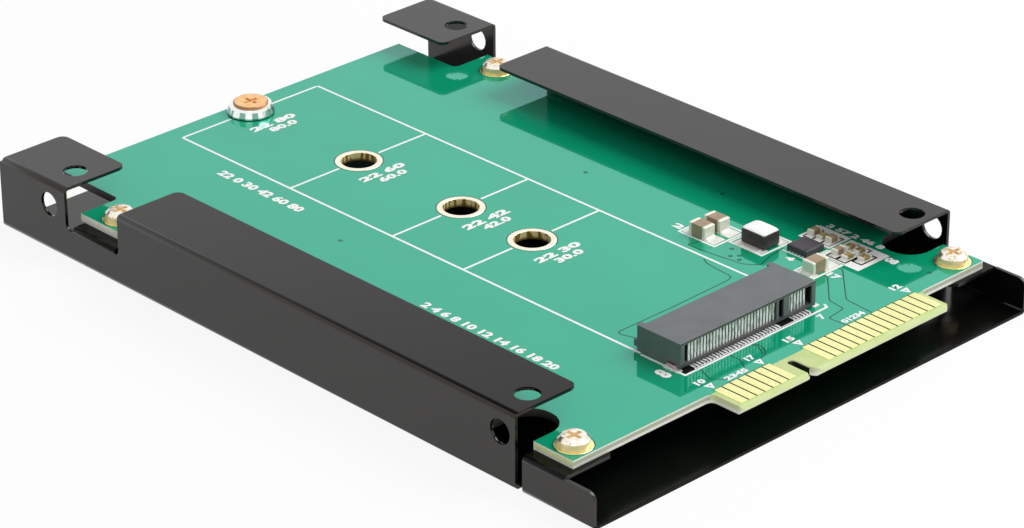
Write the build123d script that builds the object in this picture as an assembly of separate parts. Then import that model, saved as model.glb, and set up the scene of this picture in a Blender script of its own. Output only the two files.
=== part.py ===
from build123d import *
import os

# Adapter that carries one gumstick solid-state card inside a 2.5 inch drive outline.
# Millimetres. The origin is the middle of the frame's bottom face. The edge contacts
# point to -Y, and the fixing flanges face +Z, as on a drive that lies on its cover.

# Frame, one folded steel sheet
frame_width = 69.85
frame_height = 9.2
sheet = 0.4
bend_radius = 0.6            # outside radius of every fold
flange_width = 9.3
flange_corner = 1.0
low_wall_length = 10.65      # the low walls beside the edge contacts
low_wall_height = 4.35
low_wall_corner = 1.0
slot_width = 1.05            # saw-cut gap between a low wall and its long wall
slot_depth = 1.0
tab_length = 12.4            # rear tabs, from the rear edge
gap_length = 9.8             # opening between a long wall and its rear tab
gap_corner = 0.7             # lower corners of that opening
tab_flange_setback = 0.5     # the tabs' flanges end short of the rear edge
ledge_height = 4.55          # top face of the four ledges that carry the board
ledge_width = 7.6
ledge_corner = 0.8
front_ledge_length = 6.25
rear_ledge_length = 7.8
relief_width = 0.8           # gap between a rear ledge and its long wall
overrun = 1.0                # how far drills and cutters run past a face

# Fixing holes of the drive outline
fixing_hole = 3.0
fixing_inset = 4.07          # flange holes, from the frame's side
fixing_drop = 3.0            # side holes, from the flange face
fixing_front = 14.0          # front holes, from the connector end
fixing_rear = 9.4            # rear holes, from the rear edge

# Circuit board
board_thickness = 1.0
board_gap = 1.525            # room between the board and each wall
board_front_setback = 5.0    # board's front edge, from the frame's front
board_rear_setback = 2.3
board_rear_margin = 2.7      # board beyond the centre of the nut
rear_cut_width = 5.7
rear_cut_length = 10.6
rear_cut_corner = 0.8
notch_width = 6.2            # side notches round the front fixing holes
notch_depth = 5.6
notch_rounding = 0.48        # corner radius, as a share of the notch's width

# Edge contacts
tongue_length = 4.4
tongue_bevel = 0.35
tongue_corner = 0.5
tongue_root = 0.8
power_centre = 3.05          # first power contact, from the middle of the board
contact_pitch = 1.27
signal_count = 7
power_count = 15
signal_margin = 1.18         # board beyond the centre of the first signal contact
power_margin = 1.07
key_slot_width = 1.1
key_slot_side = 2.0          # last signal contact's centre to the key slot
power_lead = 3.25            # key slot to the first power contact's centre
key_slot_end = 0.8           # closed end of the slot, from the board's front edge
key_slot_rounding = 0.49     # corner radius, as a share of the slot's width
key_flare = 1.5
pad_width = 1.07
pad_length = 4.0
pad_setback = 0.65           # pads, from the tip of the tongue
plating = 0.05

# Screws that hold the board on the ledges
screw_inset = 4.425          # from the frame's side
front_screw_inset = 3.25     # from the front ledge's rear edge
rear_screw_inset = 4.2       # from the rear ledge's front edge
screw_diameter = 2.0
screw_length = 2.6
screw_head = 3.5
screw_head_height = 1.2
screw_head_bevel = 0.4
board_clearance = 0.15
thread_clearance = 0.05
recess_width = 0.5
recess_span = 2.0
recess_depth = 0.65
card_recess_depth = 0.2
recess_taper = 12

# Card positions and the nut that holds the card's end
card_datum = 15.0            # card's contact edge, from the connector end
card_lengths = (30, 42, 60, 80)   # the nut stands at the last one
card_hole = 4.35
nut_diameter = 5.95
nut_rim = 5.15
nut_height = 1.25
nut_bevel_height = 0.95
spigot_clearance = 0.05
card_screw_head = 4.35
card_screw_head_height = 0.25
card_screw_bevel = 0.1
card_screw_length = 1.7

# Card socket
socket_end = 0.8             # plastic beyond each end of the card slot
socket_height = 3.2
socket_front = 4.2           # front face, ahead of the card datum
socket_rear = 2.0            # top cover's rear edge, behind the card datum
lip_length = 0.9             # lower lip, beyond the top cover
lip_height = 1.35
ear_length = 0.6
ear_corner = 0.3
ear_width = 0.85
card_slot_height = 0.9
card_slot_depth = 2.4        # from the top cover's rear edge
card_slot_margin = 0.55      # card slot beyond the outer pins' positions
card_key_width = 1.2
front_relief_height = 0.25    # reliefs under the housing, where the solder tails come out
front_relief_depth = 0.7
rear_relief_height = 0.5
rear_relief_depth = 0.5
pin_pitch = 0.5
upper_pin_count = 38         # positions in the upper row; the lower row lies between them
key_first_count = 6          # upper positions before the key
key_pin_count = 4            # positions left empty by the key
pin_width = 0.3
pin_thickness = 0.14
channel_clearance = 0.05
channel_wall = 0.25          # plastic above and below a channel
channel_setback = 0.35       # channels end short of the top cover's rear edge
upper_pin_tail = 0.7         # solder tails, beyond the housing
lower_pin_tail = 0.35
pin_reach = 0.7              # bent contact point, behind the card datum
window_depth = 0.3           # face of the pins, behind the housing's front
front_bar_height = 0.6        # plastic under the window
deep_recess = 1.2            # recesses at the window's ends and at the key
window_wall = 0.6            # plastic beside the window, at each end
key_window_inset = 0.3
key_window_width = 0.8
nail_thickness = 0.2
nail_length = 1.3
nail_foot = 0.6
nail_height = 0.6

# Chip parts
large_chip_length = 2.6
large_chip_width = 1.7
large_chip_height = 1.55
large_chip_cap = 0.5
large_chip_bevel = 0.1
small_chip_length = 1.6
small_chip_width = 0.8
small_chip_cap = 0.32
small_capacitor_height = 0.75
resistor_height = 0.45
cap_proud = 0.02

# Places of the parts on the board, from the board's middle and the connector end
capacitor_places = {"capacitor_a": (14.95, 32.2, 90), "capacitor_b": (17.5, 32.2, 90),
                    "capacitor_c": (17.5, 16.8, 0)}
small_capacitor_places = ((24.4, 23.1), (24.4, 20.4), (22.6, 17.8))
resistor_places = ((24.4, 21.75), (24.6, 17.8), (22.6, 16.3), (24.6, 16.3), (23.6, 14.7))
inductor_place = (18.2, 25.95)
inductor_width = 2.9
inductor_length = 3.75
inductor_height = 2.0
inductor_bevel = 0.35
inductor_edge = 0.15
inductor_foot = 4.1
inductor_foot_length = 3.0
foot_thickness = 0.15
regulator_place = (20.6, 21.1)
regulator_side = 3.0
regulator_height = 0.75
regulator_bevel = 0.08
regulator_pad_count = 5
regulator_pad_pitch = 0.5
regulator_pad_width = 0.25
regulator_pad_length = 0.4
regulator_pad_proud = 0.1
regulator_dimple = 0.4
regulator_dimple_depth = 0.04

# Places that follow from the sizes above
frame_length = card_datum + card_lengths[-1] + board_rear_margin + board_rear_setback
side = frame_width / 2
front = -frame_length / 2
rear = frame_length / 2
flange_edge = side - flange_width
ledge_edge = side - ledge_width
slot_front = front + low_wall_length
front_ledge_start = slot_front - front_ledge_length
wall_front = slot_front + slot_width
tab_front = rear - tab_length
wall_rear = tab_front - gap_length
rear_ledge_start = wall_rear + relief_width
fold_start = ledge_height - bend_radius
board_bottom = ledge_height
board_top = board_bottom + board_thickness
board_front = front + board_front_setback
board_rear = rear - board_rear_setback
board_side = side - sheet - board_gap
tongue_tip = board_front - tongue_length
signal_end = power_centre - power_lead - key_slot_width - key_slot_side
signal_centre = signal_end - (signal_count - 1) * contact_pitch
power_end = power_centre + (power_count - 1) * contact_pitch
tongue_left = signal_centre - signal_margin
tongue_right = power_end + power_margin
key_left = signal_end + key_slot_side
hole_rows = (front + fixing_front, rear - fixing_rear)
screw_x = side - screw_inset
screw_rows = (slot_front - front_screw_inset, rear_ledge_start + rear_screw_inset)
card_edge = front + card_datum
nut_y = card_edge + card_lengths[-1]
socket_front_face = card_edge - socket_front
cover_rear = card_edge + socket_rear
lip_rear = cover_rear + lip_length
slot_floor = board_top + lip_height
slot_roof = slot_floor + card_slot_height
socket_top = board_top + socket_height
card_slot_side = upper_pin_count * pin_pitch / 2 + card_slot_margin
socket_side = card_slot_side + socket_end
lower_pin_count = upper_pin_count - 1
upper_pin_first = lower_pin_count * pin_pitch / 2
lower_pin_first = upper_pin_first - pin_pitch / 2
channel_width = pin_width + 2 * channel_clearance
bar_top = board_top + front_bar_height
window_back = socket_front_face + window_depth + pin_thickness + channel_clearance


def block(low, high):
    """A box between two opposite corners."""
    size = [b - a for a, b in zip(low, high)]
    middle = [(a + b) / 2 for a, b in zip(low, high)]
    return Pos(*middle) * Box(*size)


def along_y(section, start, end):
    """A section drawn in X and Z, run from one Y to another."""
    return extrude(Plane.XZ.offset(-end) * section, amount=end - start)


def across_x(section, left, right):
    """A section drawn in Y and Z, run from one X to another."""
    return extrude(Plane.YZ.offset(left) * section, amount=right - left)


def edges_along(part, axis, low, high):
    """Straight edges along an axis whose middles lie between two corners."""
    found = []
    for edge in part.edges().filter_by(axis):
        middle = edge.center()
        inside = [a <= m <= b for a, m, b in zip(low, (middle.X, middle.Y, middle.Z), high)]
        if all(inside):
            found.append(edge)
    return found


def side_block(sign, near, far, low, high):
    """A box on the left or right side, between two distances from the middle."""
    left, right = sorted((sign * near, sign * far))
    return block((left, *low), (right, *high))


def channel(height, lip_edge):
    """Folded section: a floor, two walls and two lips that end at lip_edge."""
    outer = Pos(0, height / 2) * RectangleRounded(frame_width, height, bend_radius)
    inside = RectangleRounded(frame_width - 2 * sheet, height - 2 * sheet, bend_radius - sheet)
    mouth = Pos(0, height) * Rectangle(2 * lip_edge, 2 * (sheet + overrun))
    return outer - Pos(0, height / 2) * inside - mouth


def ledge(start, end):
    """The upper part of both walls from start to end, folded in as ledges."""
    above = Pos(0, fold_start + ledge_height / 2) * Rectangle(frame_width, ledge_height)
    folded = along_y(channel(ledge_height, ledge_edge) & above, start, end)
    low = (-ledge_edge - sheet, start - sheet, fold_start)
    high = (ledge_edge + sheet, end + sheet, ledge_height)
    return chamfer(edges_along(folded, Axis.Z, low, high), ledge_corner)


def wall_cuts():
    """Openings that leave low walls, long walls and rear tabs standing."""
    top = frame_height + overrun
    flange_end = rear - tab_flange_setback
    cuts = [
        block((-side, front, low_wall_height), (side, front_ledge_start, top)),
        block((-side, front_ledge_start, fold_start), (side, wall_front, top)),
        block((-side, flange_end, frame_height - bend_radius), (side, rear, top)),
    ]
    gap = block((-side, wall_rear, fold_start), (side, tab_front, top))
    cuts.append(fillet(gap.edges().filter_by(Axis.X).group_by(Axis.Z)[0], gap_corner))
    for sign in (-1, 1):
        low = (slot_front, 0)
        cuts.append(side_block(sign, side - slot_depth, side, low, (wall_front, top)))
    return cuts


def fixing_holes():
    """Drills for the flange holes, the side holes and the ledges' threads."""
    depth = 2 * (sheet + overrun)
    flange_drill = Cylinder(fixing_hole / 2, depth)
    side_drill = Rot(0, 90, 0) * Cylinder(fixing_hole / 2, frame_width + 2 * overrun)
    thread_drill = Cylinder(screw_diameter / 2 + thread_clearance, depth)
    drills = [Pos(0, y, frame_height - fixing_drop) * side_drill for y in hole_rows]
    for sign in (-1, 1):
        x = sign * (side - fixing_inset)
        drills += [Pos(x, y, frame_height) * flange_drill for y in hole_rows]
        drills += [Pos(sign * screw_x, y, ledge_height) * thread_drill for y in screw_rows]
    return drills


def frame():
    """The folded sheet with its flanges, tabs and ledges."""
    body = along_y(channel(frame_height, flange_edge), front, rear)
    body = body.cut(*wall_cuts())
    inner = (-flange_edge - sheet, front, frame_height - sheet)
    outer = (flange_edge + sheet, rear, frame_height)
    body = fillet(edges_along(body, Axis.Z, inner, outer), flange_corner)
    low = (-side, front - sheet, low_wall_height - sheet)
    high = (side, front + sheet, low_wall_height + sheet)
    body = fillet(edges_along(body, Axis.X, low, high), low_wall_corner)
    body += ledge(front_ledge_start, slot_front)
    body += ledge(rear_ledge_start, rear_ledge_start + rear_ledge_length)
    return body.cut(*fixing_holes())


def key_slot():
    """Slot between the signal and power contacts, flared on the power side."""
    closed = board_front - key_slot_end
    middle = key_left + key_slot_width / 2
    slot = Pos(middle, tongue_tip) * Rectangle(key_slot_width, 2 * (closed - tongue_tip))
    ends = slot.vertices().group_by(Axis.Y)[-1]
    slot = fillet(ends, key_slot_rounding * key_slot_width)
    corner = (key_left + key_slot_width, tongue_tip)
    flare = Pos(corner[0] + key_flare / 2, corner[1] + key_flare / 2) * Rectangle(key_flare, key_flare)
    flare -= Pos(corner[0] + key_flare, corner[1] + key_flare) * Circle(key_flare)
    return slot + flare


def board_outline():
    """Plan of the board: ears, side notches, rear cut-outs and the contact tongue."""
    middle = (board_front + board_rear) / 2
    plan = Pos(0, middle) * Rectangle(2 * board_side, board_rear - board_front)
    for sign in (-1, 1):
        rear_cut = RectangleRounded(2 * rear_cut_width, 2 * rear_cut_length, rear_cut_corner)
        notch = RectangleRounded(2 * notch_depth, notch_width, notch_rounding * notch_width)
        plan -= Pos(sign * board_side, board_rear) * rear_cut
        plan -= Pos(sign * board_side, hole_rows[0]) * notch
    tongue_width = tongue_right - tongue_left
    centre = (tongue_left + tongue_right) / 2
    tongue = Pos(centre, board_front) * Rectangle(tongue_width, 2 * tongue_length)
    plan += tongue
    roots = plan.vertices().filter_by(lambda v: abs(v.Y - board_front) < sheet)
    roots = [v for v in roots if abs(v.X) < board_side - sheet]
    plan = fillet(roots, tongue_root)
    tips = [v for v in plan.vertices() if v.Y < tongue_tip + sheet]
    plan = fillet(tips, tongue_corner)
    return plan - key_slot()


def board_holes():
    """Holes for the screws and for the linings of the card positions."""
    plated = Circle(card_hole / 2 + plating)
    holes = [Pos(0, card_edge + length) * plated for length in card_lengths]
    screw_hole = Circle(screw_diameter / 2 + board_clearance)
    for sign in (-1, 1):
        holes += [Pos(sign * screw_x, y) * screw_hole for y in screw_rows]
    return holes


def tip_wedge(level, up):
    """Wedge that bevels the tongue's tip along the board's upper or lower face."""
    low = tongue_tip - tongue_bevel
    far = level + up * tongue_bevel
    with BuildSketch() as wedge:
        with BuildLine():
            Polyline((low, level - 2 * up * tongue_bevel), (tongue_tip + 2 * tongue_bevel, far), (low, far),
                     close=True)
        make_face()
    return across_x(wedge.sketch, tongue_left - sheet, tongue_right + sheet)


def circuit_board():
    """Glass-fibre board with a bevelled contact tongue."""
    plan = board_outline()
    for hole in board_holes():
        plan -= hole
    board = extrude(Pos(0, 0, board_bottom) * plan, amount=board_thickness)
    return board - tip_wedge(board_top, 1) - tip_wedge(board_bottom, -1)


def contact_pads(first, count):
    """A row of gold contact pads on the tongue."""
    start = tongue_tip + pad_setback
    pads = []
    for i in range(count):
        x = first + i * contact_pitch
        low = (x - pad_width / 2, start, board_top)
        pads.append(block(low, (x + pad_width / 2, start + pad_length, board_top + plating)))
    return Compound(children=pads)


def hole_lining():
    """Plating that lines one card hole."""
    middle = (board_bottom + board_top) / 2
    lining = Cylinder(card_hole / 2 + plating, board_thickness)
    lining -= Cylinder(card_hole / 2, board_thickness)
    return Pos(0, 0, middle) * lining


def at_screws(piece):
    """Copies of a piece at the four board screws."""
    places = [Pos(sign * screw_x, y, 0) for y in screw_rows for sign in (-1, 1)]
    return Compound(children=[place * piece for place in places])


def cross_recess(level, depth):
    """Cross-shaped driver recess that narrows downwards from a level."""
    arm = Rectangle(recess_span, recess_width)
    cross = arm + Rot(0, 0, 90) * arm
    return extrude(Pos(0, 0, level) * cross, amount=-depth, taper=recess_taper)


def board_screw():
    """Pan-head screw that holds the board down on a ledge."""
    head_top = board_top + screw_head_height
    head = Pos(0, 0, board_top + screw_head_height / 2) * Cylinder(screw_head / 2, screw_head_height)
    head = chamfer(head.edges().group_by(Axis.Z)[-1], screw_head_bevel)
    shank = Pos(0, 0, board_top - screw_length / 2) * Cylinder(screw_diameter / 2, screw_length)
    return head + shank - cross_recess(head_top, recess_depth)


def standoff_nut():
    """Round nut with a spigot in the board, tapered towards its rim."""
    bore = screw_diameter / 2 + thread_clearance
    spigot = card_hole / 2 - spigot_clearance
    rim = board_top + nut_height
    outline = [
        (bore, board_bottom), (spigot, board_bottom), (spigot, board_top),
        (nut_diameter / 2, board_top), (nut_diameter / 2, rim - nut_bevel_height),
        (nut_rim / 2, rim), (bore, rim),
    ]
    with BuildSketch(Plane.XZ) as profile:
        with BuildLine():
            Polyline(*outline, close=True)
        make_face()
    return Pos(0, nut_y, 0) * revolve(profile.sketch, Axis.Z)


def card_screw():
    """Flat screw that clamps the card's end on the nut."""
    seat = board_top + nut_height
    top = seat + card_screw_head_height
    head = Pos(0, 0, (seat + top) / 2) * Cylinder(card_screw_head / 2, card_screw_head_height)
    head = chamfer(head.edges().group_by(Axis.Z)[-1], card_screw_bevel)
    shank = Pos(0, 0, seat - card_screw_length / 2) * Cylinder(screw_diameter / 2, card_screw_length)
    screw = head + shank - cross_recess(top, card_recess_depth)
    return Pos(0, nut_y, 0) * screw


def upper_places():
    """X of each upper pin, from +X to -X, with the key's positions left out."""
    keyed = range(key_first_count, key_first_count + key_pin_count)
    return [upper_pin_first - i * pin_pitch for i in range(upper_pin_count) if i not in keyed]


def lower_places():
    """X of each lower pin; those beside the key's middle are left out too."""
    keyed = range(key_first_count - 1, key_first_count + key_pin_count - 1)
    return [lower_pin_first - i * pin_pitch for i in range(lower_pin_count) if i not in keyed]


def ribbon(points, thickness):
    """Strip of metal whose middle line runs through points in Y and Z."""
    with BuildSketch() as strip:
        with BuildLine() as line:
            Polyline(*points)
        trace(line.line, line_width=thickness)
    return strip.sketch


def upper_pin():
    """Pin from the front solder tail, up behind the window and over the card."""
    half = pin_thickness / 2
    rise = socket_front_face + window_depth + half
    top = socket_top - channel_wall - channel_clearance - half
    points = [
        (socket_front_face - upper_pin_tail, board_top + half),
        (rise - pin_thickness, board_top + half),
        (rise, board_top + front_relief_height),
        (rise, top),
        (card_edge - pin_thickness, top),
        (card_edge + pin_reach, slot_roof - half),
        (card_edge + 2 * pin_reach, slot_roof + pin_thickness),
    ]
    return ribbon(points, pin_thickness)


def lower_pin():
    """Pin from the rear solder tail, forward under the card."""
    half = pin_thickness / 2
    low = board_top + channel_wall + channel_clearance + half
    rise = lip_rear - rear_relief_depth + channel_clearance + half
    points = [
        (lip_rear + lower_pin_tail, board_top + half),
        (rise, board_top + half),
        (rise, low + pin_thickness),
        (card_edge, slot_floor - half),
        (card_edge - 2 * pin_thickness, slot_floor - 2 * pin_thickness),
    ]
    return ribbon(points, pin_thickness)


def pin_row(section, places):
    """One pin at each place of a row."""
    pin = across_x(section, -pin_width / 2, pin_width / 2)
    return Compound(children=[Pos(x, 0, 0) * pin for x in places])


def housing_section():
    """Side view of the socket's plastic: cover, card slot, lip and reliefs."""
    front_top = board_top + front_relief_height
    rear_top = board_top + rear_relief_height
    outline = [
        (socket_front_face + front_relief_depth, board_top),
        (socket_front_face + front_relief_depth, front_top),
        (socket_front_face, front_top), (socket_front_face, socket_top),
        (cover_rear, socket_top), (cover_rear, slot_roof), (lip_rear - lip_length, slot_floor),
        (lip_rear, slot_floor), (lip_rear, rear_top),
        (lip_rear - rear_relief_depth, rear_top), (lip_rear - rear_relief_depth, board_top),
    ]
    with BuildSketch() as side_view:
        with BuildLine():
            Polyline(*outline, close=True)
        make_face()
    return side_view.sketch


def card_slots():
    """The card slot in two parts, one each side of the key."""
    inner = cover_rear - card_slot_depth
    key_middle = upper_pin_first - (key_first_count + (key_pin_count - 1) / 2) * pin_pitch
    half_key = card_key_width / 2
    return [
        block((-card_slot_side, inner, slot_floor), (key_middle - half_key, lip_rear, slot_roof)),
        block((key_middle + half_key, inner, slot_floor), (card_slot_side, lip_rear, slot_roof)),
    ]


def pin_channels():
    """Channels that the pins lie in, open to the front window and the card slot."""
    half = channel_width / 2
    inner = cover_rear - card_slot_depth
    top = socket_top - channel_wall
    shelf = slot_roof - channel_wall
    start = socket_front_face + window_depth - channel_clearance
    channel_end = cover_rear - channel_setback
    channels = []
    for x in upper_places():
        low = (x - half, start, board_top + front_relief_height)
        channels.append(block(low, (x + half, window_back, bar_top)))
        channels.append(block((x - half, window_back, shelf), (x + half, inner, top)))
        channels.append(block((x - half, inner, slot_roof), (x + half, channel_end, top)))
    low = board_top + channel_wall
    for x in lower_places():
        channels.append(block((x - half, inner, low), (x + half, lip_rear, slot_floor)))
    return channels


def window():
    """Recesses in the front face: a shallow one for each group of pins, deep ones beside them."""
    high = socket_top - channel_wall
    margin = pin_pitch / 2
    spans = []
    for first, last in ((0, key_first_count - 1), (key_first_count + key_pin_count, upper_pin_count - 1)):
        left = upper_pin_first - last * pin_pitch - margin
        right = upper_pin_first - first * pin_pitch + margin
        spans.append((left, right, window_back))
    (_, pins_right, _), (pins_left, beside_key, _) = spans
    deep_back = socket_front_face + deep_recess
    key_left = beside_key + key_window_inset
    spans.append((pins_right, socket_side - window_wall, deep_back))
    spans.append((window_wall - socket_side, pins_left, deep_back))
    spans.append((key_left, key_left + key_window_width, deep_back))
    return [block((left, socket_front_face, bar_top), (right, back, high)) for left, right, back in spans]


def nail_plate(sign):
    """Upright part of a solder nail, which fills its pocket in the housing's end."""
    start = socket_front_face + front_relief_depth
    high = (start + nail_length, board_top + nail_height)
    return side_block(sign, socket_side - nail_thickness, socket_side, (start, board_top), high)


def solder_nails():
    """Bent metal nails that hold the socket's ends down."""
    start = socket_front_face + front_relief_depth
    high = (start + nail_length, board_top + nail_thickness)
    nails = []
    for sign in (-1, 1):
        foot = side_block(sign, socket_side, socket_side + nail_foot, (start, board_top), high)
        nails.append(nail_plate(sign) + foot)
    return Compound(children=nails)


def socket_housing():
    """Plastic body of the card socket."""
    body = across_x(housing_section(), -socket_side, socket_side)
    closed = block((-socket_side, cover_rear - lip_length, slot_floor),
                   (socket_side, cover_rear, slot_roof))
    ear_end = (cover_rear + ear_length, socket_top)
    ears = []
    for sign in (-1, 1):
        ear = side_block(sign, socket_side - ear_width, socket_side, (cover_rear, slot_floor), ear_end)
        ears.append(fillet(ear.edges().filter_by(Axis.Z).group_by(Axis.Y)[-1], ear_corner))
    body = body.fuse(closed, *ears)
    pockets = [nail_plate(sign) for sign in (-1, 1)]
    return body.cut(*card_slots(), *pin_channels(), *window(), *pockets)


def chip(length, width, height, cap, bevel=0.0):
    """A chip part with its length along X: the body and its two end caps."""
    body = Pos(0, 0, height / 2) * Box(length - 2 * cap, width, height)
    grown = width + 2 * cap_proud
    end = Pos(0, 0, (height + cap_proud) / 2) * Box(cap, grown, height + cap_proud)
    if bevel:
        end = chamfer(end.edges().group_by(Axis.Z)[-1], bevel)
    caps = [Pos(sign * (length - cap) / 2, 0, 0) * end for sign in (-1, 1)]
    return body, caps


def on_board(place, turn=0):
    """Location of a part on the board's top face."""
    return Pos(place[0], front + place[1], board_top) * Rot(0, 0, turn)


def small_chips(height, places):
    """Bodies and end caps of small chips of one height, each as one group."""
    bodies = []
    caps = []
    for place in places:
        body, ends = chip(small_chip_length, small_chip_width, height, small_chip_cap)
        bodies.append(on_board(place) * body)
        caps += [on_board(place) * end for end in ends]
    return Compound(children=bodies), Compound(children=caps)


def inductor_body():
    """Ferrite block with bevelled corners."""
    plan = Rectangle(inductor_width, inductor_length)
    plan = chamfer(plan.vertices(), inductor_bevel)
    core = extrude(plan, amount=inductor_height - foot_thickness)
    core = chamfer(core.edges().group_by(Axis.Z)[-1], inductor_edge)
    return on_board(inductor_place) * Pos(0, 0, foot_thickness) * core


def inductor_terminals():
    """Two flat feet under the inductor's sides."""
    reach = (inductor_foot - inductor_width) / 2 + inductor_bevel
    foot = Pos(0, 0, foot_thickness / 2) * Box(reach, inductor_foot_length, foot_thickness)
    shift = (inductor_foot - reach) / 2
    return Compound(children=[on_board(inductor_place) * Pos(s * shift, 0, 0) * foot for s in (-1, 1)])


def regulator_body():
    """Moulded package with a round mark at its first corner."""
    body = Box(regulator_side, regulator_side, regulator_height)
    body = chamfer(body.edges().group_by(Axis.Z)[-1], regulator_bevel)
    body = Pos(0, 0, plating + regulator_height / 2) * body
    corner = regulator_side / 2 - regulator_dimple
    mark = Pos(-corner, -corner, plating + regulator_height)
    body -= mark * Cylinder(regulator_dimple / 2, 2 * regulator_dimple_depth)
    return on_board(regulator_place) * body


def regulator_terminals():
    """Two rows of small pads under the package's edges."""
    pads = []
    for sign in (-1, 1):
        x = sign * (regulator_side / 2 + regulator_pad_proud - regulator_pad_length / 2)
        for i in range(regulator_pad_count):
            y = (i - (regulator_pad_count - 1) / 2) * regulator_pad_pitch
            pad = Box(regulator_pad_length, regulator_pad_width, plating)
            pads.append(on_board(regulator_place) * Pos(x, y, plating / 2) * pad)
    return Compound(children=pads)


def build_nodes():
    """Every piece, by the name of its node."""
    nodes = {
        "frame": frame(),
        "circuit_board": circuit_board(),
        "board_screws": at_screws(board_screw()),
        "signal_pads": contact_pads(signal_centre, signal_count),
        "power_pads": contact_pads(power_centre, power_count),
        "standoff_nut": standoff_nut(),
        "card_screw": card_screw(),
        "socket_housing": socket_housing(),
        "socket_upper_contacts": pin_row(upper_pin(), upper_places()),
        "socket_lower_contacts": pin_row(lower_pin(), lower_places()),
        "socket_solder_nails": solder_nails(),
        "inductor_body": inductor_body(),
        "inductor_terminals": inductor_terminals(),
        "regulator_body": regulator_body(),
        "regulator_terminals": regulator_terminals(),
    }
    for length in card_lengths:
        nodes[f"card_hole_lining_{length}"] = Pos(0, card_edge + length, 0) * hole_lining()
    large = (large_chip_length, large_chip_width, large_chip_height, large_chip_cap)
    for name, (x, y, turn) in capacitor_places.items():
        body, caps = chip(*large, large_chip_bevel)
        nodes[f"{name}_body"] = on_board((x, y), turn) * body
        nodes[f"{name}_terminals"] = Compound(children=[on_board((x, y), turn) * cap for cap in caps])
    bodies, caps = small_chips(small_capacitor_height, small_capacitor_places)
    nodes["small_capacitor_bodies"] = bodies
    nodes["small_capacitor_terminals"] = caps
    bodies, caps = small_chips(resistor_height, resistor_places)
    nodes["resistor_bodies"] = bodies
    nodes["resistor_terminals"] = caps
    return nodes


os.makedirs("parts", exist_ok=True)
for node, shape in build_nodes().items():
    export_step(shape, f"parts/{node}.step")
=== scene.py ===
import bmesh
import bpy
import math
from mathutils import Matrix, Vector

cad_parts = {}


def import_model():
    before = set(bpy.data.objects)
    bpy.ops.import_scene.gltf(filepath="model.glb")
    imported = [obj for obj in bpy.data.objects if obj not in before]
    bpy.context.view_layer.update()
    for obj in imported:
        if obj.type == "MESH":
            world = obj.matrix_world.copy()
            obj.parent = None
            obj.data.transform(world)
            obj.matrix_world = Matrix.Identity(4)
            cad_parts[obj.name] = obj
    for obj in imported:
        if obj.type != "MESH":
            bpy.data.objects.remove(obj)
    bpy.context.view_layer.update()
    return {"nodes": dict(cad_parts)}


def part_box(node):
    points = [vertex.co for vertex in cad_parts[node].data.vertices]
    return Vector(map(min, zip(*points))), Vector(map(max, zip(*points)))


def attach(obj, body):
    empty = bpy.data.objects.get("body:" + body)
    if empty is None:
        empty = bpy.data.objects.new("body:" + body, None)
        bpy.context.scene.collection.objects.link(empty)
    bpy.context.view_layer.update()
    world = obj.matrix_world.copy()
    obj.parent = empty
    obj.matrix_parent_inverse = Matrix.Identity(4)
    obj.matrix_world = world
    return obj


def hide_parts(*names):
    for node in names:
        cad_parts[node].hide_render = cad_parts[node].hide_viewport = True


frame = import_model()
nodes = frame["nodes"]
MM = 0.001


# Places taken from the solids, in millimetres

def node_box(name):
    low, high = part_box(name)
    return low / MM, high / MM


def solids(name):
    """Lowest and highest corner of each separate solid of a node."""
    mesh = nodes[name].data
    spots = [tuple(round(c / MM, 3) for c in v.co) for v in mesh.vertices]
    link = {spot: spot for spot in spots}

    def head(spot):
        while link[spot] != spot:
            link[spot] = link[link[spot]]
            spot = link[spot]
        return spot

    for edge in mesh.edges:
        a, b = (head(spots[i]) for i in edge.vertices)
        link[a] = b
    groups = {}
    for spot in link:
        groups.setdefault(head(spot), []).append(spot)
    boxes = []
    for group in groups.values():
        low = Vector([min(p[i] for p in group) for i in range(3)])
        high = Vector([max(p[i] for p in group) for i in range(3)])
        boxes.append((low, high))
    return sorted(boxes, key=lambda pair: tuple(pair[0]))


def centre(pair):
    return (pair[0] + pair[1]) / 2


def hole_name(length):
    """Node of the hole for a card of that length."""
    return "card_hole_lining_" + length


def hole_row(length):
    """Place along the board of the hole for a card of that length."""
    return round(centre(node_box(hole_name(length))).y, 3)


BOARD_CORNERS = node_box("circuit_board")
BOARD_LOW, BOARD_TOP = (corner.z for corner in BOARD_CORNERS)
BOARD_TIP, BOARD_REAR = (corner.y for corner in BOARD_CORNERS)
BOARD_SIDE = BOARD_CORNERS[1].x
FRAME_FRONT = node_box("frame")[0].y
FRAME_TOP = node_box("frame")[1].z
SOCKET_LOW, SOCKET_HIGH = node_box("socket_housing")
SCREW_TOP = node_box("card_screw")[1].z
OPEN_HOLES = ("30", "42", "60")
NUT_HOLE = "80"
NUT_Y = hole_row(NUT_HOLE)
LARGE_CAPACITORS = ("capacitor_a", "capacitor_b", "capacitor_c")


# Places measured in the photo or set off from the solids, in millimetres

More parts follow.
